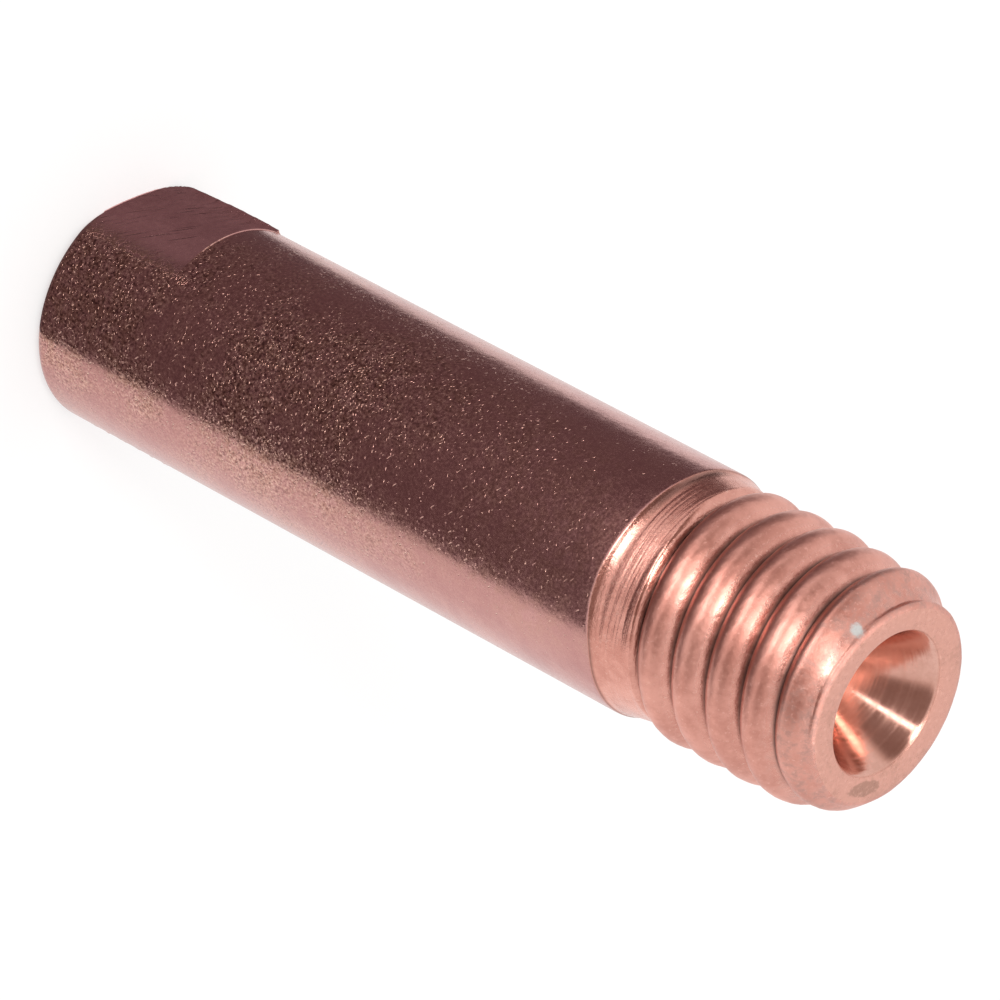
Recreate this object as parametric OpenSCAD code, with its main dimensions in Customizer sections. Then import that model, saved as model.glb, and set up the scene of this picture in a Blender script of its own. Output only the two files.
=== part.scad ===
// Welding contact tip for a wire-feed torch, one turned piece of copper.
// It stands on its nose face with the wire way upright and the thread at the top.

/* [Body] */
// Length from the nose face to the threaded end
overall_len = 24; // [22:0.5:34]
// Diameter of the plain body
body_d = 6; // [5.96:0.02:6.6]
// Radius of the rounded edge of the nose
nose_round = 0.3; // [0.1:0.05:0.5]

/* [Spanner flats] */
// Width across the two flats
flats_across = 5; // [4.5:0.1:5.5]
// Length of the flats from the nose face
flats_len = 3.25; // [2.5:0.1:6]

/* [Thread] */
// Length from the shoulder face to the threaded end
thread_len = 6.2; // [5.5:0.1:8]
// Crest diameter, a little under the nominal 6 mm
thread_d = 5.92; // [5.8:0.02:5.94]
// Pitch, right-hand
thread_pitch = 1; // [0.8:0.05:1.2]
// Full angle between the flanks of a groove
thread_angle = 60; // [55:1:60]
// Turn of the thread about the axis, which sets where it starts
thread_start = 6; // [0:1:359]
// Length of the rounded lead-in at the threaded end
lead_len = 1.4; // [0.8:0.1:2]
// How much the lead-in takes off the crest radius at its end
lead_drop = 0.55; // [0.4:0.01:0.6]

/* [Run-out] */
// Step down from the body to the plain neck behind the thread
shoulder_step = 0.15; // [0.13:0.01:0.25]
// Chamfer on the shoulder's outer edge
shoulder_chamfer = 0.1; // [0.05:0.01:0.11]
// Length of the plain neck before the groove starts to show
neck_len = 0.45; // [0.3:0.05:1]
// Length over which the groove deepens to its full form
runout_len = 0.5; // [0.3:0.05:1]

/* [Wire way] */
// Bore for the wire
bore_d = 1; // [0.7:0.1:1.6]
// Diameter of the funnel where the wire enters
mouth_d = 3.5; // [2.8:0.1:3.7]
// Full angle of the funnel
mouth_angle = 60; // [50:5:90]

/* [Hidden] */
$fn = 96;
body_r = body_d / 2;
neck_r = body_r - shoulder_step;
crest_r = thread_d / 2;
// Depth and crest radius of the thread's form both follow the pitch
thread_depth = 0.55 * thread_pitch;
crest_round = 0.2 * thread_pitch;
root_r = crest_r - thread_depth;
// Plain stem under the thread, and the bore of the thread's sleeve inside that stem
stem_r = root_r - 0.06;
sleeve_r = stem_r - 0.22;
// Heights of the shoulder face and of the points where neck and groove change
shoulder_z = overall_len - thread_len;
neck_z = shoulder_z + neck_len;
full_z = neck_z + runout_len;
// The sleeve starts inside the body and its last ring dips into the stem
sleeve_z0 = shoulder_z - 0.3;
sleeve_z1 = overall_len - 0.12;
sleeve_end = overall_len - 0.04;
lip_break = 0.05;
// Steps round one turn, and the least gap kept between two rows at the sleeve's ends
steps = 48;
row_gap = 0.4 * thread_pitch / steps;
// Half widths of the groove: at the crest, half way up the crest's round, at the flank's top, at its foot
groove_d = thread_pitch / 2;
groove_c = groove_d - crest_round / 2;
groove_b = groove_d - crest_round * cos(thread_angle / 2);
flank_r = crest_r - crest_round * (1 - sin(thread_angle / 2));
groove_a = groove_b - (flank_r - root_r) * tan(thread_angle / 2);
// Rows of the thread's surface within one pitch, from one crest to the next
rows = [-groove_d, -groove_c, -groove_b, -groove_a, groove_a, groove_b, groove_c];
turns = ceil((sleeve_z1 - sleeve_z0) / thread_pitch) + 2;
row_count = turns * len(rows);
copper = [0.78, 0.48, 0.38];

function ramp(z, a, b) = let (t = max(0, min(1, (z - a) / (b - a)))) t * t * (3 - 2 * t);

// Crest radius at height z: neck, then full thread, then the rounded lead-in
function outer_r(z) =
    neck_r + (crest_r - neck_r) * ramp(z, neck_z - 0.1, full_z + 0.15)
    - lead_drop * pow(max(0, z - overall_len + lead_len) / lead_len, 2);

// Radius of the groove at distance d along the axis from its middle
function groove_r(d) =
    d <= groove_a ? root_r :
    d <= groove_b ? root_r + (d - groove_a) / tan(thread_angle / 2) :
    crest_r - crest_round + sqrt(pow(crest_round, 2) - pow(groove_d - d, 2));

// Radius of the thread's surface at height z, at distance d along the axis from the groove's middle
function thread_r(z, d) =
    let (cut = (crest_r - groove_r(d)) * ramp(z, neck_z - 0.1, full_z))
    min(outer_r(z), max(root_r, crest_r - cut));

// Height of row m at step j, held between the sleeve's two ends
function row_z(m, j) =
    let (z = sleeve_z0 + (floor(m / len(rows)) - 1.5) * thread_pitch + rows[m % len(rows)]
        + thread_pitch * j / steps)
    z < sleeve_z0 + row_gap ? sleeve_z0 : z > sleeve_z1 - row_gap ? sleeve_z1 : z;

// Distance along the axis from the nearest groove's middle at step j
function from_groove(z, j) =
    let (t = (z - sleeve_z0) / thread_pitch - j / steps - 0.5)
    min(groove_d, abs(t - round(t)) * thread_pitch);

function polar(r, j, z) = [r * cos(360 * j / steps), r * sin(360 * j / steps), z];

// Points: one column per step, then the closing ring, then the two rings of the inner wall
sleeve_points = concat(
    [for (j = [0:steps - 1]) for (m = [0:row_count - 1])
        let (z = row_z(m, j))
        polar(thread_r(z, from_groove(z, j)), j, z)],
    [for (j = [0:steps - 1]) polar(stem_r - 0.1, j, sleeve_end)],
    [for (j = [0:steps - 1]) polar(sleeve_r, j, sleeve_end)],
    [for (j = [0:steps - 1]) polar(sleeve_r, j, sleeve_z0)]
);

// Number of a point on the thread's surface: rows held at an end share one point, and a full turn
// comes back one pitch higher
function at(m, j) =
    j == steps ? at(m + len(rows), 0) :
    m >= row_count || row_z(m, j) == sleeve_z1 ? j * row_count + row_count - 1 :
    row_z(m, j) == sleeve_z0 ? j * row_count :
    j * row_count + m;
function ring(k, j) = steps * row_count + k * steps + j % steps;

function sound(f) = f[0] != f[1] && f[1] != f[2] && f[2] != f[0];

sleeve_faces = concat(
    [for (j = [0:steps - 1]) for (m = [0:row_count - 2])
        for (f = [[at(m, j), at(m + 1, j), at(m + 1, j + 1)], [at(m, j), at(m + 1, j + 1), at(m, j + 1)]])
            if (sound(f)) f],
    [for (j = [0:steps - 1])
        for (f = [[at(row_count, j), ring(0, j), ring(0, j + 1)],
            [at(row_count, j), ring(0, j + 1), at(row_count, (j + 1) % steps)],
            [ring(0, j), ring(1, j), ring(1, j + 1)],
            [ring(0, j), ring(1, j + 1), ring(0, j + 1)],
            [ring(1, j), ring(2, j), ring(2, j + 1)],
            [ring(1, j), ring(2, j + 1), ring(1, j + 1)],
            [ring(2, j), at(0, j), at(0, (j + 1) % steps)],
            [ring(2, j), at(0, (j + 1) % steps), ring(2, j + 1)]])
            f]
);

// Half section of the turned blank: rounded nose, plain body, chamfered shoulder, stem under the thread
module blank_section() {
    difference() {
        polygon([
            [0, 0],
            [body_r, 0],
            [body_r, shoulder_z - shoulder_chamfer],
            [body_r - shoulder_chamfer, shoulder_z],
            [stem_r, shoulder_z],
            [stem_r, overall_len - lip_break],
            [stem_r - lip_break, overall_len],
            [0, overall_len]
        ]);
        difference() {
            translate([body_r - nose_round, -1])
                square([nose_round + 1, nose_round + 1]);
            translate([body_r - nose_round, nose_round])
                circle(r = nose_round);
        }
    }
}

// Wire bore from end to end, opening into a funnel at the threaded end
module wire_way() {
    funnel_depth = (mouth_d - bore_d) / 2 / tan(mouth_angle / 2);
    spill = 0.5;
    translate([0, 0, -1])
        cylinder(d = bore_d, h = overall_len + 2);
    translate([0, 0, overall_len - funnel_depth])
        cylinder(d1 = bore_d, d2 = mouth_d + 2 * spill * tan(mouth_angle / 2), h = funnel_depth + spill);
}

// The two flats a spanner or pliers hold, cut square to the axis at their upper end
module spanner_flats() {
    for (side = [0, 180])
        rotate([0, 0, side])
            translate([-body_r, flats_across / 2, -1])
                cube([body_d, body_r, flats_len + 1]);
}

// The helical surface with its run-out and lead-in, as a sleeve round the stem
module thread_sleeve() {
    rotate([0, 0, thread_start])
        polyhedron(points = sleeve_points, faces = sleeve_faces, convexity = 10);
}

module contact_tip() {
    color(copper)
        union() {
            difference() {
                rotate_extrude()
                    blank_section();
                wire_way();
                spanner_flats();
            }
            thread_sleeve();
        }
}

contact_tip();
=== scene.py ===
import math

import bmesh
import bpy
import numpy as np
from mathutils import Euler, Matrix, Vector


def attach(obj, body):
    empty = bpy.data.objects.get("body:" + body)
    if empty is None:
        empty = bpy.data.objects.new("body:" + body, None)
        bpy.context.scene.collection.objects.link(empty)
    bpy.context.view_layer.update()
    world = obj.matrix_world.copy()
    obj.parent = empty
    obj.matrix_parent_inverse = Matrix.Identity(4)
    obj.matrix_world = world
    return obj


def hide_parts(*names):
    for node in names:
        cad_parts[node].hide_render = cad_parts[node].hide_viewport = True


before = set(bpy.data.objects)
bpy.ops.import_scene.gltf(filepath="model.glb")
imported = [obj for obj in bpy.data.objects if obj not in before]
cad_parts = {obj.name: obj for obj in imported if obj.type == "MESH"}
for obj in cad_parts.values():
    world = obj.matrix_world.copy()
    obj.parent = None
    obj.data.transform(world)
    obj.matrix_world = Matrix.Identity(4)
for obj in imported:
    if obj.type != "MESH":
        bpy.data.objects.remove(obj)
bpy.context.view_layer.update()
print("frame loaded")

mm = 0.001
scene = bpy.context.scene
scene.view_settings.view_transform = "Standard"

# camera fitted to the photo
cameraSet = {
    "place": (109.05918, -84.76343, 110.23891),  # mm
    "turn": (-33.62124, -46.00901, -175.13249),  # degrees
    "lens": 268.6978,
    "sensor": 36.0,
    "near": 0.01,  # metres
}

cameraData = bpy.data.cameras.new("tipCamera")
cameraData.lens = cameraSet["lens"]
cameraData.sensor_width = cameraSet["sensor"]
cameraData.clip_start = cameraSet["near"]
cameraObject = bpy.data.objects.new("tipCamera", cameraData)
cameraObject.location = [v * mm for v in cameraSet["place"]]
cameraObject.rotation_euler = Euler([math.radians(v) for v in cameraSet["turn"]], "XYZ")
scene.collection.objects.link(cameraObject)
scene.camera = cameraObject
print("camera set")


# small helpers for node trees
def addNode(tree, kind, **settings):
    node = tree.nodes.new(kind)
    for name, value in settings.items():
        setattr(node, name, value)
    return node


def feed(tree, socket, source):
    if isinstance(source, bpy.types.NodeSocket):
        tree.links.new(source, socket)
    else:
        socket.default_value = source


def maths(tree, operation, a, b):
    node = addNode(tree, "ShaderNodeMath", operation=operation)
    feed(tree, node.inputs[0], a)
    feed(tree, node.inputs[1], b)
    return node.outputs[0]


def blendColour(tree, mask, first, second):
    node = addNode(tree, "ShaderNodeMix", data_type="RGBA", blend_type="MIX")
    feed(tree, node.inputs["Factor"], mask)
    for socket, value in ((node.inputs[6], first), (node.inputs[7], second)):
        feed(tree, socket, value if isinstance(value, bpy.types.NodeSocket) else (*value, 1.0))
    return node.outputs[2]


def fadeRange(tree, value, low, high, outLow=0.0, outHigh=1.0):
    node = addNode(tree, "ShaderNodeMapRange", interpolation_type="SMOOTHSTEP")
    feed(tree, node.inputs["Value"], value)
    limits = {"From Min": low, "From Max": high, "To Min": outLow, "To Max": outHigh}
    for name, number in limits.items():
        feed(tree, node.inputs[name], number)
    return node.outputs["Result"]


def newGroup(name, inputs, outputs):
    tree = bpy.data.node_groups.new(name, "ShaderNodeTree")
    for label, kind, start in inputs:
        socket = tree.interface.new_socket(label, in_out="INPUT", socket_type=kind)
        if start is not None:
            socket.default_value = start
    for label, kind in outputs:
        tree.interface.new_socket(label, in_out="OUTPUT", socket_type=kind)
    return tree, addNode(tree, "NodeGroupInput"), addNode(tree, "NodeGroupOutput")


def placeGroup(tree, group, **values):
    node = addNode(tree, "ShaderNodeGroup", node_tree=group)
    for name, value in values.items():
        feed(tree, node.inputs[name], value)
    return node


# stage: pale floor, dark card on the camera's side, soft light
stageSet = {
    "floorSize": 6.0,  # metres
    "floorShade": 0.38,
    "floorFill": 0.62,
    "cardEdge": 32.0,  # direction of the card's edge, degrees
    "cardOffsets": (-0.6, -1.72),  # mm from the axis to the edge, left and right of the tip
    "cardSlant": 14.0,  # degrees by which the left edge turns back
    "cardStep": 0.5,  # mm to each side, where the edge steps under the tip
    "cardDepth": 47.0,
    "cardReach": (130.0, 38.0),  # mm along the edge, to the left and to the right
    "cardTone": (0.176, 0.131, 0.139),
    "cardFade": (30.0, 47.0),  # mm from the axis, where it gets lighter
    "cardLighter": 3.4,
    "cardLift": 0.03,  # mm above the floor
    "sky": 0.95,
    "dimSky": 0.29,  # low on the camera's side, behind the lamps
    "dimTint": (1.0, 0.76, 0.69),
    "dimSide": -48.0,
    "dimSpread": (0.2, 0.6),  # cosine from that side
    "dimHeights": (0.78, 0.55),  # sine of the elevation
    "aimHeight": 15.0,  # mm, where the lamps point
}


def addPlane(name, corners, material):
    mesh = bpy.data.meshes.new(name)
    mesh.from_pydata(corners, [], [tuple(range(len(corners)))])
    mesh.materials.append(material)
    plane = bpy.data.objects.new(name, mesh)
    scene.collection.objects.link(plane)
    return plane


def floorMaterial():
    material = bpy.data.materials.new("paleFloor")
    material.use_nodes = True
    tree = material.node_tree
    tree.nodes.clear()
    output = addNode(tree, "ShaderNodeOutputMaterial")
    diffuse = addNode(tree, "ShaderNodeBsdfDiffuse")
    diffuse.inputs["Color"].default_value = (*[stageSet["floorShade"]] * 3, 1)
    fill = addNode(tree, "ShaderNodeEmission")
    paths = addNode(tree, "ShaderNodeLightPath")
    seen = maths(tree, "MAXIMUM", paths.outputs["Is Camera Ray"], paths.outputs["Is Glossy Ray"])
    seen = maths(tree, "MAXIMUM", seen, paths.outputs["Is Transmission Ray"])
    feed(tree, fill.inputs["Strength"], maths(tree, "MULTIPLY", seen, stageSet["floorFill"]))
    both = addNode(tree, "ShaderNodeAddShader")
    tree.links.new(diffuse.outputs[0], both.inputs[0])
    tree.links.new(fill.outputs[0], both.inputs[1])
    tree.links.new(both.outputs[0], output.inputs["Surface"])
    return material


def cardMaterial():
    material = bpy.data.materials.new("darkCard")
    material.use_nodes = True
    tree = material.node_tree
    tree.nodes.clear()
    output = addNode(tree, "ShaderNodeOutputMaterial")
    tone = addNode(tree, "ShaderNodeEmission")
    tone.inputs["Color"].default_value = (*stageSet["cardTone"], 1)
    place = addNode(tree, "ShaderNodeTexCoord")
    apart = addNode(tree, "ShaderNodeVectorMath", operation="DOT_PRODUCT")
    feed(tree, apart.inputs[0], place.outputs["Object"])
    edge = math.radians(stageSet["cardEdge"])
    apart.inputs[1].default_value = (math.sin(edge) / mm, -math.cos(edge) / mm, 0)
    strength = fadeRange(tree, apart.outputs["Value"], *stageSet["cardFade"],
                         1.0, stageSet["cardLighter"])
    feed(tree, tone.inputs["Strength"], strength)
    tree.links.new(tone.outputs[0], output.inputs["Surface"])
    return material


half = stageSet["floorSize"] / 2
floorCorners = [(-half, -half, 0), (half, -half, 0), (half, half, 0), (-half, half, 0)]
addPlane("paleFloor", floorCorners, floorMaterial())

cardEdge = math.radians(stageSet["cardEdge"])
along = Vector((math.cos(cardEdge), math.sin(cardEdge), 0))
away = Vector((-along.y, along.x, 0))
cardCorners = []
leftEdge, rightEdge = stageSet["cardOffsets"]
reachLeft, reachRight = stageSet["cardReach"]
depth, step = stageSet["cardDepth"], stageSet["cardStep"]
# the edge steps under the tip, where it is out of sight
farLeft = leftEdge + reachLeft * math.tan(math.radians(stageSet["cardSlant"]))
for across, offset in ((-reachLeft, -depth), (reachRight, -depth), (reachRight, rightEdge),
                       (step, rightEdge), (-step, leftEdge), (-reachLeft, farLeft)):
    spot = along * across + away * offset
    cardCorners.append((spot.x * mm, spot.y * mm, stageSet["cardLift"] * mm))
darkCard = addPlane("darkCard", cardCorners, cardMaterial())
# the card only shows in reflections, as a flag does beside a camera
darkCard.visible_camera = False
darkCard.visible_diffuse = False
darkCard.visible_transmission = False
darkCard.visible_shadow = False

lampSet = {
    # name: azimuth, elevation, distance, width, height, radiance, colour
    "overhead": (142.0, 78.0, 240.0, 170.0, 170.0, 1.2, (1.0, 0.98, 0.96)),
    "keyStrip": (-57.0, 47.0, 220.0, 62.0, 76.0, 8.0, (1.0, 0.98, 0.96)),
    "lowStrip": (-51.0, 25.0, 220.0, 26.0, 60.0, 4.4, (1.0, 0.98, 0.96)),
    "sideStrip": (-50.0, 4.0, 220.0, 120.0, 38.0, 9.0, (1.0, 0.97, 0.96)),
}
for name, (azimuth, elevation, distance, width, height, radiance, colour) in lampSet.items():
    lampData = bpy.data.lights.new(name, "AREA")
    lampData.shape = "RECTANGLE"
    lampData.size = width * mm
    lampData.size_y = height * mm
    lampData.energy = radiance * math.pi * width * height * mm * mm
    lampData.color = colour
    lamp = bpy.data.objects.new(name, lampData)
    a, e = math.radians(azimuth), math.radians(elevation)
    aim = Vector((math.cos(a) * math.cos(e), math.sin(a) * math.cos(e), math.sin(e)))
    lamp.location = aim * distance * mm + Vector((0, 0, stageSet["aimHeight"] * mm))
    lamp.rotation_euler = aim.to_track_quat("Z", "Y").to_euler()
    scene.collection.objects.link(lamp)

world = bpy.data.worlds.new("studio")
scene.world = world
world.use_nodes = True
worldTree = world.node_tree
worldTree.nodes.clear()
worldOutput = addNode(worldTree, "ShaderNodeOutputWorld")
sky = addNode(worldTree, "ShaderNodeBackground")
cameraRay = addNode(worldTree, "ShaderNodeLightPath").outputs["Is Camera Ray"]
# the room is dimmer low down on the camera's side, and white where the camera looks at it
heading = addNode(worldTree, "ShaderNodeTexCoord")
towards = addNode(worldTree, "ShaderNodeVectorMath", operation="DOT_PRODUCT")
feed(worldTree, towards.inputs[0], heading.outputs["Generated"])
side = math.radians(stageSet["dimSide"])
towards.inputs[1].default_value = (math.cos(side), math.sin(side), 0)
upright = addNode(worldTree, "ShaderNodeSeparateXYZ")
feed(worldTree, upright.inputs[0], heading.outputs["Generated"])
dim = maths(worldTree, "MULTIPLY",
            fadeRange(worldTree, towards.outputs["Value"], *stageSet["dimSpread"]),
            fadeRange(worldTree, upright.outputs["Z"], *stageSet["dimHeights"]))
dim = maths(worldTree, "MULTIPLY", dim, maths(worldTree, "SUBTRACT", 1.0, cameraRay))
level = fadeRange(worldTree, dim, 0.0, 1.0, stageSet["sky"], stageSet["dimSky"])
feed(worldTree, sky.inputs["Strength"], maths(worldTree, "MAXIMUM", level, cameraRay))
tint = blendColour(worldTree, dim, (1.0, 1.0, 1.0), stageSet["dimTint"])
feed(worldTree, sky.inputs["Color"], tint)
worldTree.links.new(sky.outputs[0], worldOutput.inputs["Surface"])
print("stage and lamps set")


# effects that several finishes share
effectSet = {
    "strokeFade": (0.36, 0.14),  # distance from the middle of a stroke
    "cloudShares": (0.65, 0.35),  # broad and fine
    "cloudFade": (0.38, 0.62),
}


def buildStrokeMarks():
    # short nicks and scratches that run one way, from stretched cells
    tree, given, out = newGroup(
        "strokeMarks",
        [("Vector", "NodeSocketVector", None), ("Turn", "NodeSocketVector", None),
         ("Across", "NodeSocketFloat", 8.0), ("Along", "NodeSocketFloat", 2.0),
         ("Cover", "NodeSocketFloat", 0.4)],
        [("Mask", "NodeSocketFloat"), ("Tone", "NodeSocketFloat")])
    turn = addNode(tree, "ShaderNodeMapping", vector_type="POINT")
    feed(tree, turn.inputs["Vector"], given.outputs["Vector"])
    feed(tree, turn.inputs["Rotation"], given.outputs["Turn"])
    stretch = addNode(tree, "ShaderNodeCombineXYZ")
    feed(tree, stretch.inputs["X"], given.outputs["Across"])
    feed(tree, stretch.inputs["Y"], given.outputs["Across"])
    feed(tree, stretch.inputs["Z"], given.outputs["Along"])
    scaled = addNode(tree, "ShaderNodeVectorMath", operation="MULTIPLY")
    feed(tree, scaled.inputs[0], turn.outputs[0])
    feed(tree, scaled.inputs[1], stretch.outputs[0])
    cells = addNode(tree, "ShaderNodeTexVoronoi", feature="F1")
    feed(tree, cells.inputs["Vector"], scaled.outputs[0])
    cells.inputs["Scale"].default_value = 1.0
    tones = addNode(tree, "ShaderNodeSeparateColor")
    feed(tree, tones.inputs[0], cells.outputs["Color"])
    spot = fadeRange(tree, cells.outputs["Distance"], *effectSet["strokeFade"])
    chosen = maths(tree, "LESS_THAN", tones.outputs[0], given.outputs["Cover"])
    tree.links.new(maths(tree, "MULTIPLY", spot, chosen), out.inputs["Mask"])
    tree.links.new(tones.outputs[1], out.inputs["Tone"])
    return tree


def buildTarnish():
    # cloudy oxide: broad patches broken up by small ones
    tree, given, out = newGroup(
        "tarnishClouds",
        [("Vector", "NodeSocketVector", None), ("Broad", "NodeSocketFloat", 0.35),
         ("Fine", "NodeSocketFloat", 2.4)],
        [("Mask", "NodeSocketFloat"), ("Speckle", "NodeSocketFloat"), ("Drift", "NodeSocketFloat")])
    broad = addNode(tree, "ShaderNodeTexNoise")
    feed(tree, broad.inputs["Vector"], given.outputs["Vector"])
    feed(tree, broad.inputs["Scale"], given.outputs["Broad"])
    broad.inputs["Detail"].default_value = 5.0
    broad.inputs["Roughness"].default_value = 0.62
    fine = addNode(tree, "ShaderNodeTexNoise")
    feed(tree, fine.inputs["Vector"], given.outputs["Vector"])
    feed(tree, fine.inputs["Scale"], given.outputs["Fine"])
    fine.inputs["Detail"].default_value = 4.0
    fine.inputs["Roughness"].default_value = 0.7
    broadShare, fineShare = effectSet["cloudShares"]
    both = maths(tree, "ADD", maths(tree, "MULTIPLY", broad.outputs[0], broadShare),
                 maths(tree, "MULTIPLY", fine.outputs[0], fineShare))
    tree.links.new(fadeRange(tree, both, *effectSet["cloudFade"]), out.inputs["Mask"])
    tree.links.new(fine.outputs[0], out.inputs["Speckle"])
    tree.links.new(broad.outputs[0], out.inputs["Drift"])
    return tree


def buildTurnedLines():
    # fine rings left by the lathe, a little broken round the turn
    tree, given, out = newGroup(
        "turnedLines",
        [("Vector", "NodeSocketVector", None), ("Per mm", "NodeSocketFloat", 12.0),
         ("Breaks", "NodeSocketFloat", 0.4)],
        [("Height", "NodeSocketFloat")])
    stretch = addNode(tree, "ShaderNodeCombineXYZ")
    feed(tree, stretch.inputs["X"], given.outputs["Breaks"])
    feed(tree, stretch.inputs["Y"], given.outputs["Breaks"])
    feed(tree, stretch.inputs["Z"], given.outputs["Per mm"])
    scaled = addNode(tree, "ShaderNodeVectorMath", operation="MULTIPLY")
    feed(tree, scaled.inputs[0], given.outputs["Vector"])
    feed(tree, scaled.inputs[1], stretch.outputs[0])
    lines = addNode(tree, "ShaderNodeTexNoise")
    feed(tree, lines.inputs["Vector"], scaled.outputs[0])
    lines.inputs["Scale"].default_value = 1.0
    lines.inputs["Detail"].default_value = 3.0
    tree.links.new(lines.outputs[0], out.inputs["Height"])
    return tree


def buildGrain():
    # sandy micro surface of tumbled copper
    tree, given, out = newGroup(
        "sandGrain",
        [("Vector", "NodeSocketVector", None), ("Per mm", "NodeSocketFloat", 9.0)],
        [("Height", "NodeSocketFloat")])
    grain = addNode(tree, "ShaderNodeTexNoise")
    feed(tree, grain.inputs["Vector"], given.outputs["Vector"])
    feed(tree, grain.inputs["Scale"], given.outputs["Per mm"])
    grain.inputs["Detail"].default_value = 4.0
    grain.inputs["Roughness"].default_value = 0.65
    tree.links.new(grain.outputs[0], out.inputs["Height"])
    return tree


strokeMarks = buildStrokeMarks()
tarnishClouds = buildTarnish()
turnedLines = buildTurnedLines()
sandGrain = buildGrain()


def startMetal(name):
    material = bpy.data.materials.new(name)
    material.use_nodes = True
    tree = material.node_tree
    tree.nodes.clear()
    output = addNode(tree, "ShaderNodeOutputMaterial")
    metal = addNode(tree, "ShaderNodeBsdfPrincipled")
    metal.inputs["Metallic"].default_value = 1.0
    tree.links.new(metal.outputs[0], output.inputs["Surface"])
    place = addNode(tree, "ShaderNodeTexCoord")
    toMm = addNode(tree, "ShaderNodeVectorMath", operation="SCALE")
    feed(tree, toMm.inputs[0], place.outputs["Object"])
    toMm.inputs["Scale"].default_value = 1.0 / mm
    return material, tree, metal, toMm.outputs[0]


def addBump(tree, metal, *layers):
    # each layer is a height and how many mm it stands
    total = None
    for height, depth in layers:
        part = maths(tree, "MULTIPLY", height, depth)
        total = part if total is None else maths(tree, "ADD", total, part)
    bump = addNode(tree, "ShaderNodeBump")
    bump.inputs["Distance"].default_value = mm
    feed(tree, bump.inputs["Height"], total)
    tree.links.new(bump.outputs[0], metal.inputs["Normal"])


grainSpan = (0.3, 0.7)  # range of the noise that roughness follows


def addClouds(tree, look, spot):
    broad, fine = look["clouds"]
    return placeGroup(tree, tarnishClouds, Vector=spot, Broad=broad, Fine=fine)


def addGrain(tree, spot, perMm):
    return placeGroup(tree, sandGrain, Vector=spot, **{"Per mm": perMm}).outputs[0]


def addRings(tree, look, spot):
    values = {"Per mm": look["ringsPerMm"], "Breaks": look["ringBreaks"]}
    return placeGroup(tree, turnedLines, Vector=spot, **values).outputs[0]


def addStrokes(tree, spot, strokes, share=None):
    # bump layers of several sets of strokes, and one mask of them all
    layers, mask = [], None
    for turn, across, lengthwise, cover, depth in strokes:
        if share is not None:
            cover = maths(tree, "MULTIPLY", share, cover)
        marks = placeGroup(tree, strokeMarks, Vector=spot, Turn=turn,
                           Across=across, Along=lengthwise, Cover=cover)
        strength = maths(tree, "MULTIPLY", marks.outputs["Mask"], marks.outputs["Tone"])
        layers.append((strength, -depth))
        mask = strength if mask is None else maths(tree, "MAXIMUM", mask, strength)
    return layers, mask


def attribute(tree, name):
    return addNode(tree, "ShaderNodeAttribute", attribute_name=name).outputs["Fac"]


def scaleBy(tree, value, source, limits):
    # the value times a soft ramp of the source
    return maths(tree, "MULTIPLY", value, fadeRange(tree, source, *limits))


def heightOf(tree, spot):
    apart = addNode(tree, "ShaderNodeSeparateXYZ")
    feed(tree, apart.inputs[0], spot)
    return apart.outputs["Z"]


# ranges in the finishes: where a ramp starts and ends, then what it gives there
bodyFinish = {
    "copper": (0.665, 0.35, 0.33),
    "tarnish": (0.52, 0.255, 0.24),
    "brown": (0.46, 0.235, 0.18),
    "fresh": (0.90, 0.58, 0.47),
    "pepper": (0.13, 0.05, 0.045),
    "roughness": (0.17, 0.30),
    "clouds": (0.35, 2.6),  # broad and fine, per mm
    "nicks": (  # turn, across and along per mm, cover, depth in mm
        ((0.3, 0.9, 0.2), 17.0, 6.5, 0.55, 0.010),
        ((1.2, -0.5, 0.7), 20.0, 7.0, 0.55, 0.010),
        ((-0.8, 0.35, 1.9), 14.0, 4.0, 0.40, 0.014),
    ),
    "radius": 3.0,
    "rubbedSide": -36.0,  # degrees, where handling has left most marks
    "rubbedRange": (0.4, 0.92, 0.4, 1.0),
    "driftRange": (0.38, 0.58, 0.3, 1.0),
    "markHeights": (16.5, 8.0, 0.13, 1.0),
    "brownHeights": (16.5, 8.0, 0.6, 1.0),
    "brownRange": (0.36, 0.6, 0.25, 1.0),
    "saltRange": (0.5, 0.68),
    "pepperRange": (0.5, 0.36, 0.0, 0.9),
    "frayRange": (0.42, 0.58),
    "grainPerMm": 14.0,
    "grain": 0.002,  # heights of the bumps, mm
    "wavesPerMm": 0.55,
    "waves": 0.031,
    "edgeGrain": 0.045,
}


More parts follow.
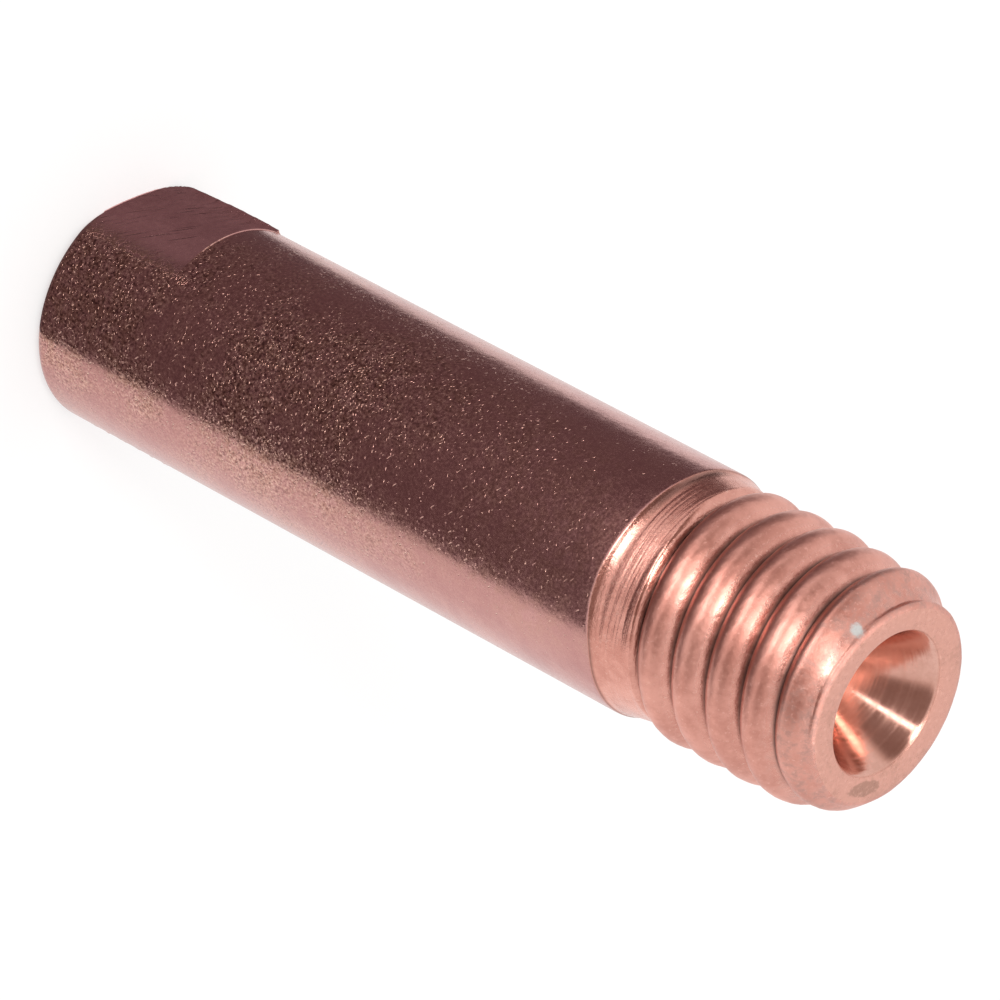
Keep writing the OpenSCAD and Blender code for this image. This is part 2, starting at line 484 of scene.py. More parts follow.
def bodyCopper():
    look = bodyFinish
    material, tree, metal, spot = startMetal("bodyCopper")
    clouds = addClouds(tree, look, spot)
    speckle = clouds.outputs["Speckle"]
    height = heightOf(tree, spot)
    # marks come in drifts, mostly on the rubbed side, and thin out towards the thread
    facing = addNode(tree, "ShaderNodeVectorMath", operation="DOT_PRODUCT")
    feed(tree, facing.inputs[0], spot)
    side, radius = math.radians(look["rubbedSide"]), look["radius"]
    facing.inputs[1].default_value = (math.cos(side) / radius, math.sin(side) / radius, 0)
    drift = fadeRange(tree, clouds.outputs["Drift"], *look["driftRange"])
    drift = scaleBy(tree, drift, facing.outputs["Value"], look["rubbedRange"])
    browned = scaleBy(tree, drift, height, look["brownHeights"])
    drift = scaleBy(tree, drift, height, look["markHeights"])
    layers, nicks = addStrokes(tree, spot, look["nicks"], drift)
    grain = addGrain(tree, spot, look["grainPerMm"])
    waves = addGrain(tree, spot, look["wavesPerMm"])
    colour = blendColour(tree, clouds.outputs["Mask"], look["tarnish"], look["copper"])
    browned = scaleBy(tree, browned, speckle, look["brownRange"])
    colour = blendColour(tree, browned, colour, look["brown"])
    pepper = scaleBy(tree, drift, grain, look["pepperRange"])
    colour = blendColour(tree, pepper, colour, look["pepper"])
    salt = scaleBy(tree, drift, grain, look["saltRange"])
    colour = blendColour(tree, maths(tree, "MAXIMUM", salt, nicks), colour, look["fresh"])
    feed(tree, metal.inputs["Base Color"], colour)
    feed(tree, metal.inputs["Roughness"], fadeRange(tree, grain, *grainSpan, *look["roughness"]))
    # the edges of the flats are frayed in places
    frayed = scaleBy(tree, attribute(tree, "edgeWear"), speckle, look["frayRange"])
    frayed = maths(tree, "MULTIPLY", frayed, grain)
    addBump(tree, metal, (grain, look["grain"]), (waves, look["waves"]),
            (frayed, look["edgeGrain"]), *layers)
    return material


flatFinish = {
    "copper": (0.86, 0.465, 0.45),
    "tarnish": (0.70, 0.36, 0.35),
    "dark": (0.25, 0.105, 0.105),
    "brown": (0.40, 0.20, 0.15),  # where the flat runs out into the body
    "fresh": (0.90, 0.58, 0.47),
    "roughness": (0.22, 0.36),
    "clouds": (0.5, 3.0),
    "scratches": (  # turn, across and along per mm, cover, depth in mm
        ((0.0, 1.24, 0.0), 24.0, 0.45, 0.7, 0.004),
        ((0.0, 1.16, 0.0), 15.0, 0.7, 0.55, 0.005),
    ),
    "runOutRange": (0.35, 0.6, 0.35, 1.0),
    "sparkleRange": (0.56, 0.66),
    "grainPerMm": 9.0,
    "grain": 0.005,
    "edgeGrain": 0.02,
}


def flatCopper():
    look = flatFinish
    material, tree, metal, spot = startMetal("flatCopper")
    clouds = addClouds(tree, look, spot)
    layers, scratches = addStrokes(tree, spot, look["scratches"])
    grain = addGrain(tree, spot, look["grainPerMm"])
    colour = blendColour(tree, clouds.outputs["Mask"], look["tarnish"], look["copper"])
    colour = blendColour(tree, scratches, colour, look["dark"])
    soft = attribute(tree, "softEdge")
    runOut = scaleBy(tree, soft, grain, look["runOutRange"])
    colour = blendColour(tree, runOut, colour, look["brown"])
    sparkle = scaleBy(tree, soft, grain, look["sparkleRange"])
    colour = blendColour(tree, sparkle, colour, look["fresh"])
    feed(tree, metal.inputs["Base Color"], colour)
    feed(tree, metal.inputs["Roughness"], fadeRange(tree, grain, *grainSpan, *look["roughness"]))
    addBump(tree, metal, (grain, look["grain"]), (runOut, look["edgeGrain"]), *layers)
    return material


threadFinish = {
    "copper": (0.79, 0.385, 0.312),
    "tarnish": (0.63, 0.28, 0.222),
    "fresh": (0.90, 0.53, 0.44),
    # painted shade: near-black colour laid into the thread roots and along the shoulder's foot and
    # chamfer
    "root": (0.10, 0.058, 0.052),
    "rootShadeCover": 0.96,
    # smear colour: partly dirt, partly painted shade over the lead-in's highlight
    "smearAndShade": (0.50, 0.285, 0.245),
    "smearHeights": (22.6, 23.4, 0.0, 0.85),
    "smearRange": (0.38, 0.72),
    "shineRange": (0.56, 0.72, 0.0, 0.6),
    "roughness": (0.35, 0.45),
    "smearRough": 0.12,  # roughness that the smears add
    "neckShine": 0.65,  # share of the roughness left on the neck
    "flankShine": 0.6,  # and beside the roots
    "clouds": (0.9, 4.0),
    "grainPerMm": 12.0,
    "grain": 0.006,
    "ringsPerMm": 9.0,
    "ringBreaks": 0.25,
    "rings": 0.002,
    "neckRings": 0.015,
    "neckHeights": (17.98, 18.14, 0.12, 1.0),
    "speck": (1.06, -2.22, 23.82),  # a light deposit beside the rim, mm
    "speckColour": (0.52, 0.56, 0.55),
    "speckRagged": 0.22,
    "speckRange": (0.33, 0.2, 0.0, 0.9),
}


def threadCopper():
    look = threadFinish
    material, tree, metal, spot = startMetal("threadCopper")
    clouds = addClouds(tree, look, spot)
    grain = addGrain(tree, spot, look["grainPerMm"])
    rings = addRings(tree, look, spot)
    height = heightOf(tree, spot)
    colour = blendColour(tree, clouds.outputs["Mask"], look["tarnish"], look["copper"])
    # greyer, darker smears towards the end: partly dirt, partly painted shade that dims the highlight
    # on the lead-in
    smearAndShade = fadeRange(tree, height, *look["smearHeights"])
    smearAndShade = scaleBy(tree, smearAndShade, clouds.outputs["Speckle"], look["smearRange"])
    colour = blendColour(tree, smearAndShade, colour, look["smearAndShade"])
    shine = fadeRange(tree, grain, *look["shineRange"])
    colour = blendColour(tree, shine, colour, look["fresh"])
    # painted shade: roots, the shoulder's foot and one side of its chamfer darkened to stand in for
    # shade
    paintedShadeMask = maths(tree, "MULTIPLY", attribute(tree, "paintedShade"), look["rootShadeCover"])
    colour = blendColour(tree, paintedShadeMask, colour, look["root"])
    apart = addNode(tree, "ShaderNodeVectorMath", operation="DISTANCE")
    feed(tree, apart.inputs[0], spot)
    apart.inputs[1].default_value = look["speck"]
    ragged = maths(tree, "MULTIPLY", grain, look["speckRagged"])
    ragged = maths(tree, "ADD", apart.outputs["Value"], ragged)
    speck = fadeRange(tree, ragged, *look["speckRange"])
    colour = blendColour(tree, speck, colour, look["speckColour"])
    feed(tree, metal.inputs["Base Color"], colour)
    feed(tree, metal.inputs["Metallic"], maths(tree, "SUBTRACT", 1.0, speck))
    # the tool's rings stand out on the neck, which is smoother, and are rolled flat on the thread
    onNeck = attribute(tree, "neckTurned")
    neck = scaleBy(tree, onNeck, height, look["neckHeights"])
    neck = maths(tree, "MULTIPLY", rings, neck)
    rough = fadeRange(tree, grain, *grainSpan, *look["roughness"])
    rough = scaleBy(tree, rough, onNeck, (0.0, 1.0, 1.0, look["neckShine"]))
    rough = scaleBy(tree, rough, attribute(tree, "flankRub"), (0.0, 1.0, 1.0, look["flankShine"]))
    rough = maths(tree, "ADD", rough, maths(tree, "MULTIPLY", smearAndShade, look["smearRough"]))
    feed(tree, metal.inputs["Roughness"], rough)
    addBump(tree, metal, (grain, look["grain"]), (rings, look["rings"]), (neck, look["neckRings"]))
    return material


landFinish = {
    "copper": (0.72, 0.365, 0.29),
    "worn": (0.42, 0.22, 0.165),
    "fresh": (0.82, 0.47, 0.39),
    "roughness": (0.26, 0.42),
    "clouds": (0.9, 5.0),
    "grainPerMm": 9.0,
    "grain": 0.010,
    "patch": (0.50, 1.98, 24.0),  # middle of the worn patch, mm
    "patchSize": (0.58, 0.2, 0.5),
    "patchTurn": -14.0,
    "patchRagged": 0.9,
    "patchRange": (1.5, 1.25, 0.0, 0.8),
    "mottleRange": (0.75, 0.1, 0.0, 0.35),
    "shineRange": (0.52, 0.7, 0.0, 0.6),
}


def landCopper():
    look = landFinish
    material, tree, metal, spot = startMetal("landCopper")
    clouds = addClouds(tree, look, spot)
    grain = addGrain(tree, spot, look["grainPerMm"])
    patch = addNode(tree, "ShaderNodeMapping", vector_type="TEXTURE")
    feed(tree, patch.inputs["Vector"], spot)
    patch.inputs["Location"].default_value = look["patch"]
    patch.inputs["Rotation"].default_value = (0, 0, math.radians(look["patchTurn"]))
    patch.inputs["Scale"].default_value = look["patchSize"]
    apart = addNode(tree, "ShaderNodeVectorMath", operation="LENGTH")
    feed(tree, apart.inputs[0], patch.outputs[0])
    ragged = maths(tree, "MULTIPLY", clouds.outputs["Speckle"], look["patchRagged"])
    ragged = maths(tree, "ADD", apart.outputs["Value"], ragged)
    worn = fadeRange(tree, ragged, *look["patchRange"])
    mottle = fadeRange(tree, clouds.outputs["Mask"], *look["mottleRange"])
    worn = maths(tree, "MAXIMUM", worn, mottle)
    colour = blendColour(tree, worn, look["copper"], look["worn"])
    shine = fadeRange(tree, grain, *look["shineRange"])
    colour = blendColour(tree, shine, colour, look["fresh"])
    feed(tree, metal.inputs["Base Color"], colour)
    feed(tree, metal.inputs["Roughness"], fadeRange(tree, grain, *grainSpan, *look["roughness"]))
    addBump(tree, metal, (grain, look["grain"]))
    return material


funnelFinish = {
    "copper": (0.78, 0.44, 0.36),
    "tarnish": (0.68, 0.365, 0.29),
    "roughness": (0.14, 0.23),
    "clouds": (0.8, 5.0),
    "ringsPerMm": 14.0,
    "ringBreaks": 0.25,
    "rings": 0.002,
}


def funnelCopper():
    look = funnelFinish
    material, tree, metal, spot = startMetal("funnelCopper")
    clouds = addClouds(tree, look, spot)
    rings = addRings(tree, look, spot)
    colour = blendColour(tree, clouds.outputs["Mask"], look["tarnish"], look["copper"])
    feed(tree, metal.inputs["Base Color"], colour)
    feed(tree, metal.inputs["Roughness"], fadeRange(tree, rings, *grainSpan, *look["roughness"]))
    addBump(tree, metal, (rings, look["rings"]))
    return material


finishes = [bodyCopper(), flatCopper(), threadCopper(), landCopper(), funnelCopper()]
body, flat, thread, land, funnel = range(len(finishes))
print("finishes made")


tip = {  # mm and degrees
    "length": 24.0,
    "columns": 288,
    "bodyRadius": 3.0,
    "bodyRows": 15,
    # nose and flats
    "noseRings": (1.1, 1.7, 2.2, 2.45),
    "noseRound": 0.3,
    "noseSteps": 9,
    "flatDistance": 2.5,
    "flatLength": 3.25,
    "flatRows": 46,
    "flatReach": 55.0,  # degrees from a flat's middle, past both its edges
    "flatBulge": (0.12, 0.03),  # crown at the nose, and further up
    "bulgeFade": 0.9,
    "edgeColumns": (-1.0, -0.5, 0.0, 0.5, 1.0),  # closer columns round an edge
    "burr": 0.1,
    "burrRise": ((0.3, 0.35), (1.6, 1.0)),  # height, share of the tall burr
    "smallBurr": 0.03,
    "burrShape": ((0.0, 1.0), (0.5, 0.75), (1.0, 0.45), (2.4, 0.0)),  # degrees from the edge, share
    "burrWave": (0.9, 0.1, 3.1, 0.4),  # mean, swing, waves per mm, seed
    "smallWave": (0.45, 0.55, 13.0, 1.7),
    "burrStart": (0.1, 0.45),
    "softEdge": 0.16,  # mm over which one edge of each flat is rounded off
    "softReach": 16.0,
    "wallStart": 0.03,  # mm below the flats' end where their end wall starts
    "lip": ((0.0, 0.004), (0.02, 0.01), (0.02, 0.014), (0.0, 0.032), (0.0, 0.12)),  # out and up, mm
    "lipFade": (4.0, 22.0),  # degrees from the soft edge
    # shoulder, whose edge wanders a little round the turn, and neck
    "shoulderTurn": (-180, -130, -110, -88, -65, -40, -30, -17, -5, 7, 30, 60, 110, 180),
    "shoulderEdge": (17.9, 17.96, 17.86, 17.85, 17.80, 17.73, 17.70,
                     17.74, 17.82, 17.9, 17.95, 17.96, 17.92, 17.9),
    "shoulderStart": 0.1,  # mm below the edge
    "shoulderRound": ((0.003, -0.06), (0.008, -0.03), (0.02, 0.0)),  # in and up, mm
    "neckShape": ((0.0, 2.98), (0.035, 2.955), (0.22, 2.897),
                  (0.85, 2.795), (1.3, 2.775)),  # mm past the edge, radius
    "neckRows": 8,
    # thread
    "pitch": 1.0,
    "threadMiddle": 18.0,  # height of one groove's middle at threadStart
    "threadStart": 6.0,
    "threadDepth": 0.37,
    "crestRadius": 2.965,
    "crestSpare": 0.1,
    "rootShift": 0.06,
    "rootRound": (0.06, 0.1),  # share of the depth that fills the root, and its blend
    "turnPower": 2.2,
    "turnBlend": 0.03,
    "turnRows": 22,
    "rootRows": (-0.022, 0.0, 0.022),
    "rowGap": 0.002,
    "spareTurns": 3,  # rows past the block's ends, held there
    "blockStart": 18.12,
    "blockEnd": 23.9,
    "runOut": (18.1, 18.6),
    "firstTurn": (18.72, 19.0),  # crest heights between which the first turn comes up out of the neck
    "turnWear": (0.006, 9.0, 7.0, 0.8),  # mm, waves per radian and per mm, seed
    "crestWear": 0.05,
    "wearHeights": (21.4, 22.4),
    "leadStart": 22.75,
    "leadDrop": 0.42,
    "leadPower": 2.7,
    "endSoftness": 0.5,  # the last groove is rounder
    "endHeights": (22.6, 23.4),
    "lastHeights": (22.9, 23.7),
    "lastGroove": ((-180, 0.95), (-95, 0.95), (-60, 0.55), (-35, 0.25),
                   (0, 0.25), (30, 0.7), (180, 0.95)),  # turn, share of its depth left at the rim
    "leanSide": 51.0,  # the thread stands a little to one side
    "lean": ((19.0, 0.012), (21.8, 0.012), (22.4, 0.036), (23.1, 0.036), (23.45, 0.0)),  # height, mm
    "rimDip": ((23.25, 0.0), (23.5, 0.055), (23.9, 0.03)),
    # rim, end land, mouth and bore
    "rimRound": 0.2,
    "rimTurns": (15, 32, 50, 70),
    "landShares": (1.0, 0.7, 0.4, 0.12),
    "mouthRadius": 1.75,
    "mouthHalf": 30.0,  # half of the funnel's angle
    "mouthBreak": 0.03,
    "mouthEdge": ((0.015, 0.008), (-0.012, 0.038)),  # out and down, mm
    "funnelTop": 23.93,
    "funnelRows": 26,
    "boreRadius": 0.5,
    "boreBreak": 0.05,
    "boreRows": 11,
    # clean-up of the mesh
    "weld": 0.0004,
    "leastEdge": 0.0002,
    "sharpAngle": 38.0,
}

flatMiddles = (-90, 90)
flatHalf = math.degrees(math.acos(tip["flatDistance"] / tip["bodyRadius"]))
flatEdges = [middle + side * flatHalf for middle in flatMiddles for side in (-1, 1)]
burrEdge = flatEdges[0]  # the edge with the tall burr
softSides = [middle + flatHalf for middle in flatMiddles]  # each flat has one soft edge


def columnAngles():
    step = 360 / tip["columns"]
    found = list(np.linspace(-180, 180, tip["columns"], endpoint=False))
    for edge in flatEdges:
        found = [a for a in found if abs(a - edge) > step]
        found += [edge + d for d in tip["edgeColumns"]]
    return np.array(sorted(found))


def apartFrom(degrees, side):
    return np.abs((degrees - side + 180) % 360 - 180)


def fromFlat(degrees):
    return np.min([apartFrom(degrees, middle) for middle in flatMiddles], axis=0)


def fromSoftSide(degrees):
    return np.min([apartFrom(degrees, side) for side in softSides], axis=0)


def ramp(z, a, b):
    t = np.clip((z - a) / (b - a), 0, 1)
    return t * t * (3 - 2 * t)


def softMax(a, b, k):
    h = np.maximum(k - np.abs(a - b), 0) / k
    return np.maximum(a, b) + h * h * k / 4


def softMin(a, b, k):
    return -softMax(-a, -b, k)


def ripple(x, seed):
    # smooth irregular wave between about -1 and 1
    return (np.sin(x * 1.0 + seed) + 0.7 * np.sin(x * 2.3 + seed * 2.1)
            + 0.5 * np.sin(x * 4.9 + seed * 3.7) + 0.35 * np.sin(x * 9.7 + seed * 5.3)) / 2.1


def follow(x, table):
    return np.interp(x, *zip(*table))


angles = columnAngles()
count = len(angles)
nextColumn = (np.arange(count) + 1) % count
middles = angles + 0.5 * ((np.roll(angles, -1) - angles) % 360)
flatColumn = fromFlat(middles) < flatHalf
onFlat = fromFlat(angles) < flatHalf + 1e-6
flatTurn = np.radians(np.minimum(fromFlat(angles), tip["flatReach"]))
nearSoftSide = fromSoftSide(angles) < tip["softReach"]
shoulderAt = np.interp(angles, tip["shoulderTurn"], tip["shoulderEdge"])
grooveHalf = tip["pitch"] / 2


def flatRadius(z):
    # pressed flats, a little crowned where the metal gave way at the nose
    nose, rest = tip["flatBulge"]
    middle = np.maximum(0, 1 - (np.tan(flatTurn) / math.tan(math.radians(flatHalf))) ** 2)
    crown = (nose * math.exp(-z / tip["bulgeFade"]) + rest) * middle
    return (tip["flatDistance"] + crown) / np.cos(flatTurn)


def burrAt(z):
    raised = np.zeros(count)
    for n, edge in enumerate(flatEdges):
        tall = edge == burrEdge
        size = tip["burr"] * float(follow(z, tip["burrRise"])) if tall else tip["smallBurr"]
        mean, swing, waves, seed = tip["burrWave"] if tall else tip["smallWave"]
        wave = mean + swing * float(ripple(z * waves, n + seed))
        raised += size * wave * follow(apartFrom(angles, edge), tip["burrShape"])
    return raised


def pressedRadius(radius, z):
    # ring radius with the flats taken off and their edges raised or rounded
    plane = flatRadius(z)
    soft = softMin(radius, plane, tip["softEdge"])
    base = np.where(nearSoftSide, soft, np.minimum(radius, plane))
    return base + burrAt(z) * ramp(z, *tip["burrStart"]) * ~nearSoftSide


def neckRadius(z, shoulder):
    # a chamfer and a slow cone down from the shoulder's edge
    return follow(z - shoulder, tip["neckShape"])


def outerRadius(z, degrees):
    # wear on the last crests, then the rounded lead-in
    lead = np.maximum(0, z - tip["leadStart"]) / (tip["length"] - tip["leadStart"])
    worn = tip["crestWear"] * ramp(z, *tip["wearHeights"])
    facing = math.cos(math.radians(degrees - tip["leanSide"]))
    leaning = follow(z, tip["lean"]) * facing
    dip = follow(z, tip["rimDip"]) * (0.5 + 0.5 * facing) ** 2
    return tip["crestRadius"] - worn - tip["leadDrop"] * lead ** tip["leadPower"] + leaning - dip


def rootHeight(degrees):
    turned = (degrees - tip["threadStart"]) / 360 * tip["pitch"]
    return tip["threadMiddle"] + tip["rootShift"] + turned


def turnUp(z, degrees):
    # 0 on the neck, 1 where the turn at this height is a full one
    root = rootHeight(degrees)
    crest = root + (np.floor((z - root) / tip["pitch"]) + 0.5) * tip["pitch"]
    return ramp(crest, *tip["firstTurn"])


def threadRadius(z, d, degrees, shoulder):
    # rounded turns that meet in a narrow root, as on a rolled and tumbled thread
    away = d - tip["rootShift"]
    reach = grooveHalf + tip["rootShift"] if away < 0 else grooveHalf - tip["rootShift"]
    t = min(abs(away) / reach, 1)
    rise = softMax(1 - (1 - t) ** tip["turnPower"], *tip["rootRound"])
    soft = tip["endSoftness"] * ramp(z, *tip["endHeights"])
    rise = rise * (1 - soft) + (0.5 - 0.5 * math.cos(math.pi * t)) * soft
    groove = tip["threadDepth"] * (1 - rise) * ramp(z - d, *tip["runOut"])
    kept = follow(degrees, tip["lastGroove"])
    groove = groove * (1 - (1 - kept) * ramp(z, *tip["lastHeights"]))
    neck = neckRadius(z, shoulder)
    limit = neck + (tip["crestRadius"] + tip["crestSpare"] - neck) * turnUp(z, degrees)
    return softMin(outerRadius(z, degrees) - groove, limit, tip["turnBlend"])


points, faces, faceFinish = [], [], []


def addRing(radii, heights):
    radii = np.broadcast_to(np.asarray(radii, float), (count,))
    heights = np.broadcast_to(np.asarray(heights, float), (count,))
    start = len(points)
    rad = np.radians(angles)
    points.extend(zip(radii * np.cos(rad) * mm, radii * np.sin(rad) * mm, heights * mm))
    return np.arange(start, start + count)


def addFace(corners, finish):
    kept = [c for n, c in enumerate(corners) if c != corners[n - 1]]
    if len(set(kept)) == len(kept) and len(kept) > 2:
        faces.append(tuple(int(c) for c in kept))
        faceFinish.append(finish)


def addBand(low, high, finish, onFlats=None):
    for j in range(count):
        k = nextColumn[j]
        used = onFlats if onFlats is not None and flatColumn[j] else finish
        addFace((low[j], low[k], high[k], high[j]), used)


def grow(last, radii, heights, finish, onFlats=None):
    # one more ring, joined to the last one
    ring = addRing(radii, heights)
    addBand(last, ring, finish, onFlats)
    return ring


# nose face, nose round and flats
firstRing = addRing(tip["boreRadius"] + tip["boreBreak"], 0.0)
last = firstRing
for radius in tip["noseRings"]:
    last = grow(last, radius, 0.0, body)
noseMiddle = tip["bodyRadius"] - tip["noseRound"]
for t in np.radians(np.linspace(0, 90, tip["noseSteps"])):
    z = tip["noseRound"] * (1 - math.cos(t))
    last = grow(last, pressedRadius(noseMiddle + tip["noseRound"] * math.sin(t), z), z, body, flat)
wallStart = tip["flatLength"] - tip["wallStart"]
for z in np.linspace(tip["noseRound"], wallStart, tip["flatRows"])[1:]:
    last = grow(last, pressedRadius(tip["bodyRadius"], z), z, body, flat)
last = grow(last, pressedRadius(tip["bodyRadius"], tip["flatLength"]), tip["flatLength"], body, flat)
# end wall, with metal pushed up by the press as a fine lip that fades out towards the soft edge
lipShare = ramp(fromSoftSide(angles), *tip["lipFade"]) * onFlat
for out, up in tip["lip"]:
    bodyStart = tip["flatLength"] + up
    last = grow(last, tip["bodyRadius"] + out * lipShare, bodyStart, body)

# body, shoulder edge and neck
bodyEnd = shoulderAt - tip["shoulderStart"]
for share in np.linspace(0, 1, tip["bodyRows"])[1:]:
    last = grow(last, tip["bodyRadius"], bodyStart + (bodyEnd - bodyStart) * share, body)
for drop, up in tip["shoulderRound"]:
    last = grow(last, tip["bodyRadius"] - drop, shoulderAt + up, body if up < 0 else thread)
for share in np.linspace(0, 1, tip["neckRows"])[1:-1]:
    heights = shoulderAt + (tip["blockStart"] - shoulderAt) * share
    last = grow(last, neckRadius(heights, shoulderAt), heights, thread)

# thread: rows follow the helix and are held at the block's two ends
phases = list(np.linspace(-0.5, 0.5, tip["turnRows"], endpoint=False))
phases = sorted(phases + [tip["rootShift"] + v for v in tip["rootRows"]])
perTurn = len(phases)
low, high = tip["blockStart"], tip["blockEnd"]
rows = (int(math.ceil(high - low)) + tip["spareTurns"]) * perTurn
firstMiddle = tip["threadMiddle"] + (-180 - tip["threadStart"]) / 360 * tip["pitch"]
firstMiddle += math.floor((low - firstMiddle) / tip["pitch"] - 1) * tip["pitch"]
columnMiddle = firstMiddle + tip["pitch"] * (angles + 180) / 360


def rowHeight(m, j):
    return columnMiddle[j] + (m // perTurn) * tip["pitch"] + phases[m % perTurn]


def threadSurface(j, z):
    d = (z - columnMiddle[j] + grooveHalf) % tip["pitch"] - grooveHalf
    size, sideways, upward, seed = tip["turnWear"]
    wave = ripple(np.radians(angles[j]) * sideways + z * upward, seed)
    wear = size * wave * turnUp(z, angles[j])
    return float(threadRadius(z, d, angles[j], shoulderAt[j]) + wear)


bottom = addRing([threadSurface(j, low) for j in range(count)], low)
topRadii = np.array([threadSurface(j, high) for j in range(count)])
top = addRing(topRadii, high)
addBand(last, bottom, thread)
grid = np.zeros((rows, count), int)
for j in range(count):
    rad = math.radians(angles[j])
    for m in range(rows):
        z = rowHeight(m, j)
        if z < low + tip["rowGap"]:
            grid[m, j] = bottom[j]
        elif z > high - tip["rowGap"]:
            grid[m, j] = top[j]
        else:
            r = threadSurface(j, z)
            grid[m, j] = len(points)
            points.append((r * math.cos(rad) * mm, r * math.sin(rad) * mm, z * mm))


def threadPoint(m, j):
    # a full turn comes back one pitch higher
    if j == count:
        m, j = m + perTurn, 0
    return grid[m, j] if m < rows else top[j]


for j in range(count):
    for m in range(rows - 1):
        addFace((threadPoint(m, j), threadPoint(m, j + 1),
                 threadPoint(m + 1, j + 1), threadPoint(m + 1, j)), thread)
last = top

# rim, end land, mouth, funnel and bore
for turn in np.radians(tip["rimTurns"]):
    rimRadii = topRadii - tip["rimRound"] * (1 - math.cos(turn))
    last = grow(last, rimRadii, high + (tip["length"] - high) * math.sin(turn), thread)
mouth = tip["mouthRadius"]
landStart = mouth + tip["mouthBreak"]
landWidth = topRadii - tip["rimRound"] - landStart
for share in tip["landShares"]:
    last = grow(last, landStart + landWidth * share, tip["length"], land)
for out, down in tip["mouthEdge"]:
    last = grow(last, mouth + out, tip["length"] - down, land)
slope = math.tan(math.radians(tip["mouthHalf"]))
boreTop = tip["length"] - (mouth - tip["boreRadius"]) / slope
for z in np.linspace(tip["funnelTop"], boreTop, tip["funnelRows"]):
    last = grow(last, mouth - (tip["length"] - z) * slope, z, funnel)
for z in np.linspace(boreTop, tip["boreBreak"], tip["boreRows"])[1:]:
    last = grow(last, tip["boreRadius"], z, funnel)
addBand(last, firstRing, funnel)

tipMesh = bpy.data.meshes.new("contactTip")
tipMesh.from_pydata([tuple(float(v) for v in p) for p in points], [], faces)
for finish in finishes:
    tipMesh.materials.append(finish)
tipMesh.polygons.foreach_set("material_index", faceFinish)
shaped = bmesh.new()
shaped.from_mesh(tipMesh)
bmesh.ops.remove_doubles(shaped, verts=shaped.verts, dist=tip["weld"] * mm)
bmesh.ops.dissolve_degenerate(shaped, edges=shaped.edges, dist=tip["leastEdge"] * mm)
loose = [v for v in shaped.verts if not v.link_faces]
bmesh.ops.delete(shaped, geom=loose, context="VERTS")
bmesh.ops.recalc_face_normals(shaped, faces=shaped.faces)
shaped.to_mesh(tipMesh)
openEdges = sum(1 for e in shaped.edges if len(e.link_faces) != 2)
shaped.free()
tipMesh.polygons.foreach_set("use_smooth", [True] * len(tipMesh.polygons))
tipMesh.set_sharp_from_angle(angle=math.radians(tip["sharpAngle"]))

# wear, and painted shade, kept on the mesh for the finishes
wearAndShadeSet = {  # mm and degrees
    "edgeWidth": 2.2,
    "edgeTop": 0.4,  # past the end of the flats
    "edgeInside": 2.4,  # radius
    # painted shade along the thread roots: widths below and above each root
    "rootWidths": (0.04, 0.17),  # below a root and above it
    "rootStart": (18.3, 18.8),
    "rootEnd": (23.0, 23.6),
    "shadeInside": 2.2,  # radius
    "footWidth": 0.025,
    "footCover": 0.6,
    "footFront": (-25.0, 5.0),
    "footBack": (-90.0, -110.0),
    "chamferStart": (-0.02, 0.01),  # past the shoulder's edge
    "chamferEnd": (0.1, 0.24),
    "chamferFrom": (-125.0, -100.0),
    "chamferTo": (-76.0, -52.0),
    "chamferCover": 0.7,
    "softWidth": 8.0,
    "flankMiddle": -0.12,  # from the root
    "flankWidth": 0.08,
}


def bell(apart, width):
    return np.exp(-(apart / width) ** 2)


def keepOnMesh(name, values):
    layer = tipMesh.attributes.new(name, "FLOAT", "POINT")
    layer.data.foreach_set("value", values.astype(np.float32))


spots = np.zeros(len(tipMesh.vertices) * 3)
tipMesh.vertices.foreach_get("co", spots)
spots = spots.reshape(-1, 3) / mm
spotHeight = spots[:, 2]
spotAngle = np.degrees(np.arctan2(spots[:, 1], spots[:, 0]))
spotRadius = np.hypot(spots[:, 0], spots[:, 1])

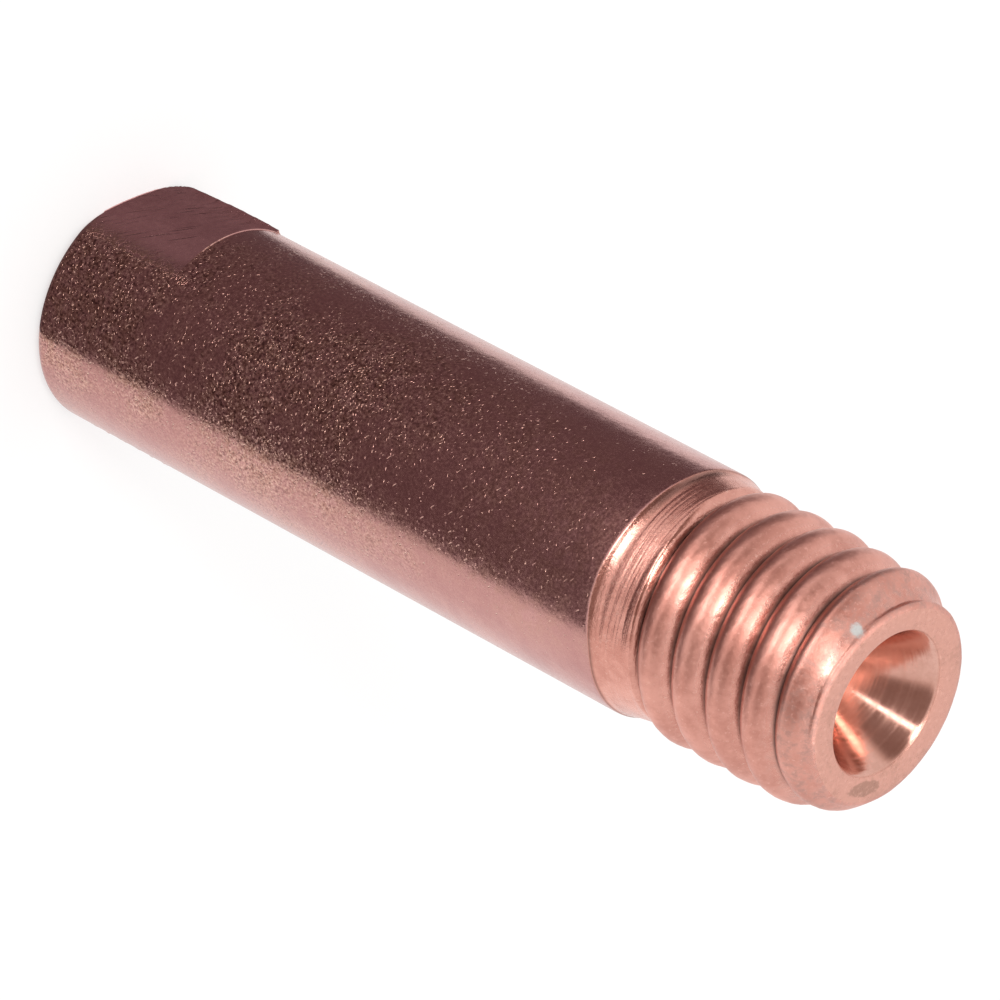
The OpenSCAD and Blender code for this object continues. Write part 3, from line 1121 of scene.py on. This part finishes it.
nearEdge = np.min([apartFrom(spotAngle, edge) for edge in flatEdges], axis=0)
nearEdge = bell(nearEdge, wearAndShadeSet["edgeWidth"])
nearEdge = nearEdge * (spotHeight < tip["flatLength"] + wearAndShadeSet["edgeTop"])
keepOnMesh("edgeWear", nearEdge * (spotRadius > wearAndShadeSet["edgeInside"]))

# painted shade along the thread roots, wider on the side above each root
fromRoot = (spotHeight - rootHeight(spotAngle) + grooveHalf) % tip["pitch"] - grooveHalf
below, above = wearAndShadeSet["rootWidths"]
paintedShadeMask = bell(fromRoot, np.where(fromRoot < 0, below, above))
paintedShadeMask = paintedShadeMask * ramp(spotHeight - fromRoot, *wearAndShadeSet["rootStart"])
paintedShadeMask = paintedShadeMask * (1 - ramp(spotHeight, *wearAndShadeSet["rootEnd"]))
# painted shade along the foot of the shoulder, and on its chamfer on one side
pastEdge = spotHeight - np.interp(spotAngle, tip["shoulderTurn"], tip["shoulderEdge"])
footSides = ramp(spotAngle, *wearAndShadeSet["footFront"]) + ramp(spotAngle, *wearAndShadeSet["footBack"])
foot = wearAndShadeSet["footCover"] * bell(pastEdge, wearAndShadeSet["footWidth"]) * footSides
chamfer = ramp(pastEdge, *wearAndShadeSet["chamferStart"]) * (1 - ramp(pastEdge, *wearAndShadeSet["chamferEnd"]))
chamfer = chamfer * ramp(spotAngle, *wearAndShadeSet["chamferFrom"])
chamfer = chamfer * (1 - ramp(spotAngle, *wearAndShadeSet["chamferTo"])) * wearAndShadeSet["chamferCover"]
paintedShadeMask = np.max([paintedShadeMask, foot, chamfer], axis=0)
keepOnMesh("paintedShade", paintedShadeMask * (spotRadius > wearAndShadeSet["shadeInside"]))

keepOnMesh("softEdge", bell(fromSoftSide(spotAngle), wearAndShadeSet["softWidth"]))
keepOnMesh("neckTurned", 1 - turnUp(spotHeight, spotAngle))
keepOnMesh("flankRub", bell(fromRoot - wearAndShadeSet["flankMiddle"], wearAndShadeSet["flankWidth"]))

tipObject = bpy.data.objects.new("contactTip", tipMesh)
scene.collection.objects.link(tipObject)
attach(tipObject, "root")
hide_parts("contact_tip")
print("tip built:", len(tipMesh.polygons), "faces,", openEdges, "open edges")
